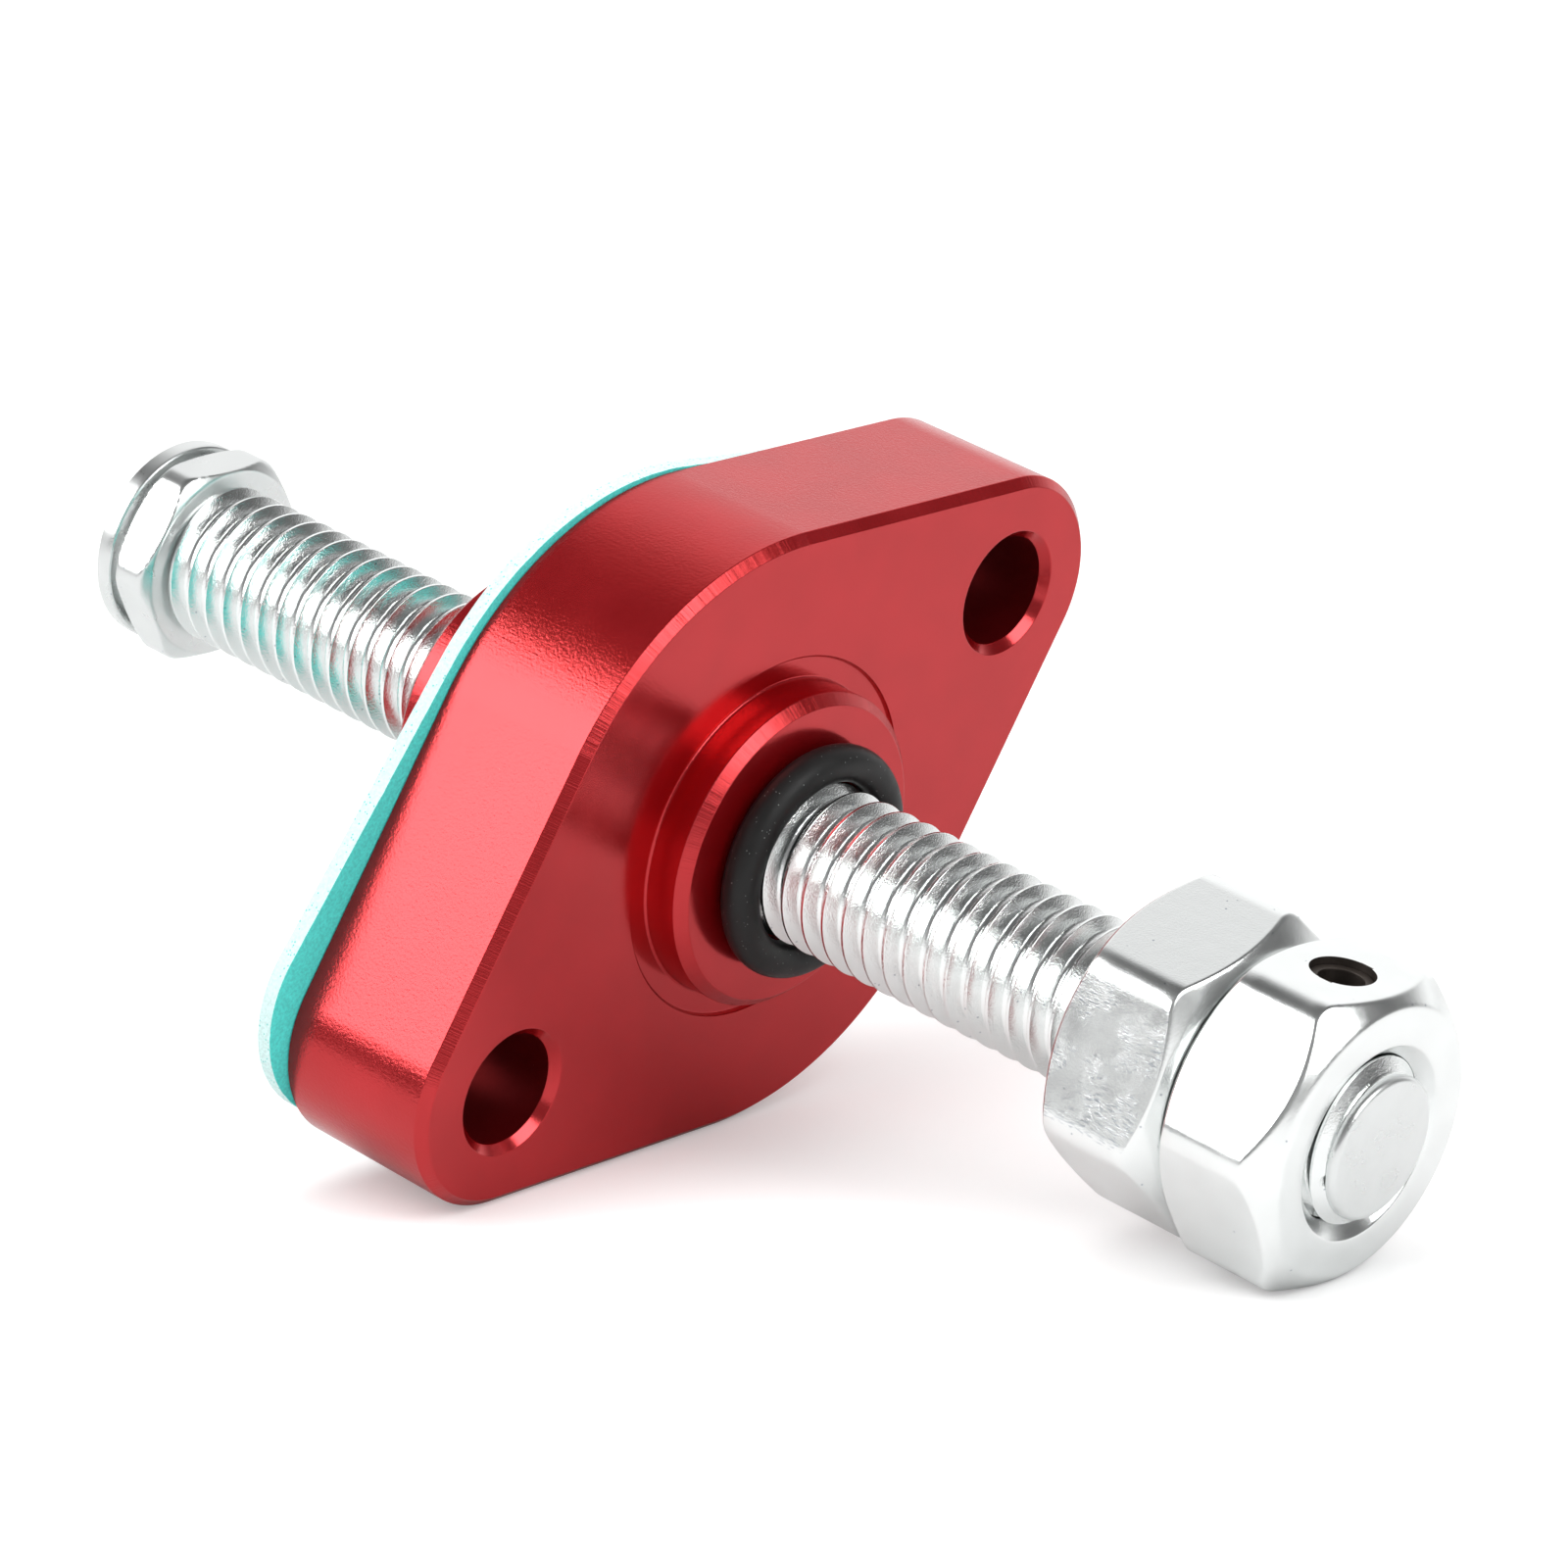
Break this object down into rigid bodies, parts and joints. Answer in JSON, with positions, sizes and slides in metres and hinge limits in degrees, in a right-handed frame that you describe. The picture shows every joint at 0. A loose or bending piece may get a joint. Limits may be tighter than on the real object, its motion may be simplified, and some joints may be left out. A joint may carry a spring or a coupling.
{
  "type": "cam chain tensioner",
  "caption": "Manual cam chain tensioner: flanged anodised housing with a screw bolt, lock nut and pinned end nut that sets how far a domed head pushes the chain guide.",
  "frame": {"origin": "centre of the flange's back face, on the bolt's axis, midway between the two fixing holes", "axes": "+X along the bolt's axis, out of the engine towards the nuts; +Z along the flange's long axis; +Y completes the right-handed frame"},
  "size_m": [0.0791, 0.0308, 0.0477],
  "materials": {
    "housing": "red anodised satin",
    "gasket": "matt compressed fibre",
    "o_ring": "satin",
    "zinc": "bright zinc plated"
  },
  "bodies": {
    "housing": {"housing": "housing"},
    "gasket": {"gasket": "gasket"},
    "ring": {"o_ring": "o_ring"},
    "bolt": {"tensioner_bolt": "zinc", "end_nut": "zinc", "spring_pin": "zinc"},
    "lock_nut": {"lock_nut": "zinc"}
  },
  "joints": [
    {"name": "bolt_turn", "type": "hinge", "parent": "housing", "child": "ring", "pos_m": [0, 0, 0], "axis": [1, 0, 0], "range_deg": [-1720, 5530]},
    {"name": "bolt_travel", "type": "slide", "parent": "ring", "child": "bolt", "axis": [1, 0, 0], "range_m": [-0.0059, 0.0191]},
    {"name": "lock_nut_run", "type": "slide", "parent": "bolt", "child": "lock_nut", "axis": [1, 0, 0], "range_m": [-0.0125, 0]},
    {"name": "gasket_turn", "type": "hinge", "parent": "housing", "child": "gasket", "pos_m": [0, 0, 0], "axis": [1, 0, 0], "range_deg": [0, 5]}
  ],
  "couplings": [
    {"joint": "bolt_turn", "follows": "bolt_travel", "rad_per_m": 5026.5}
  ]
}
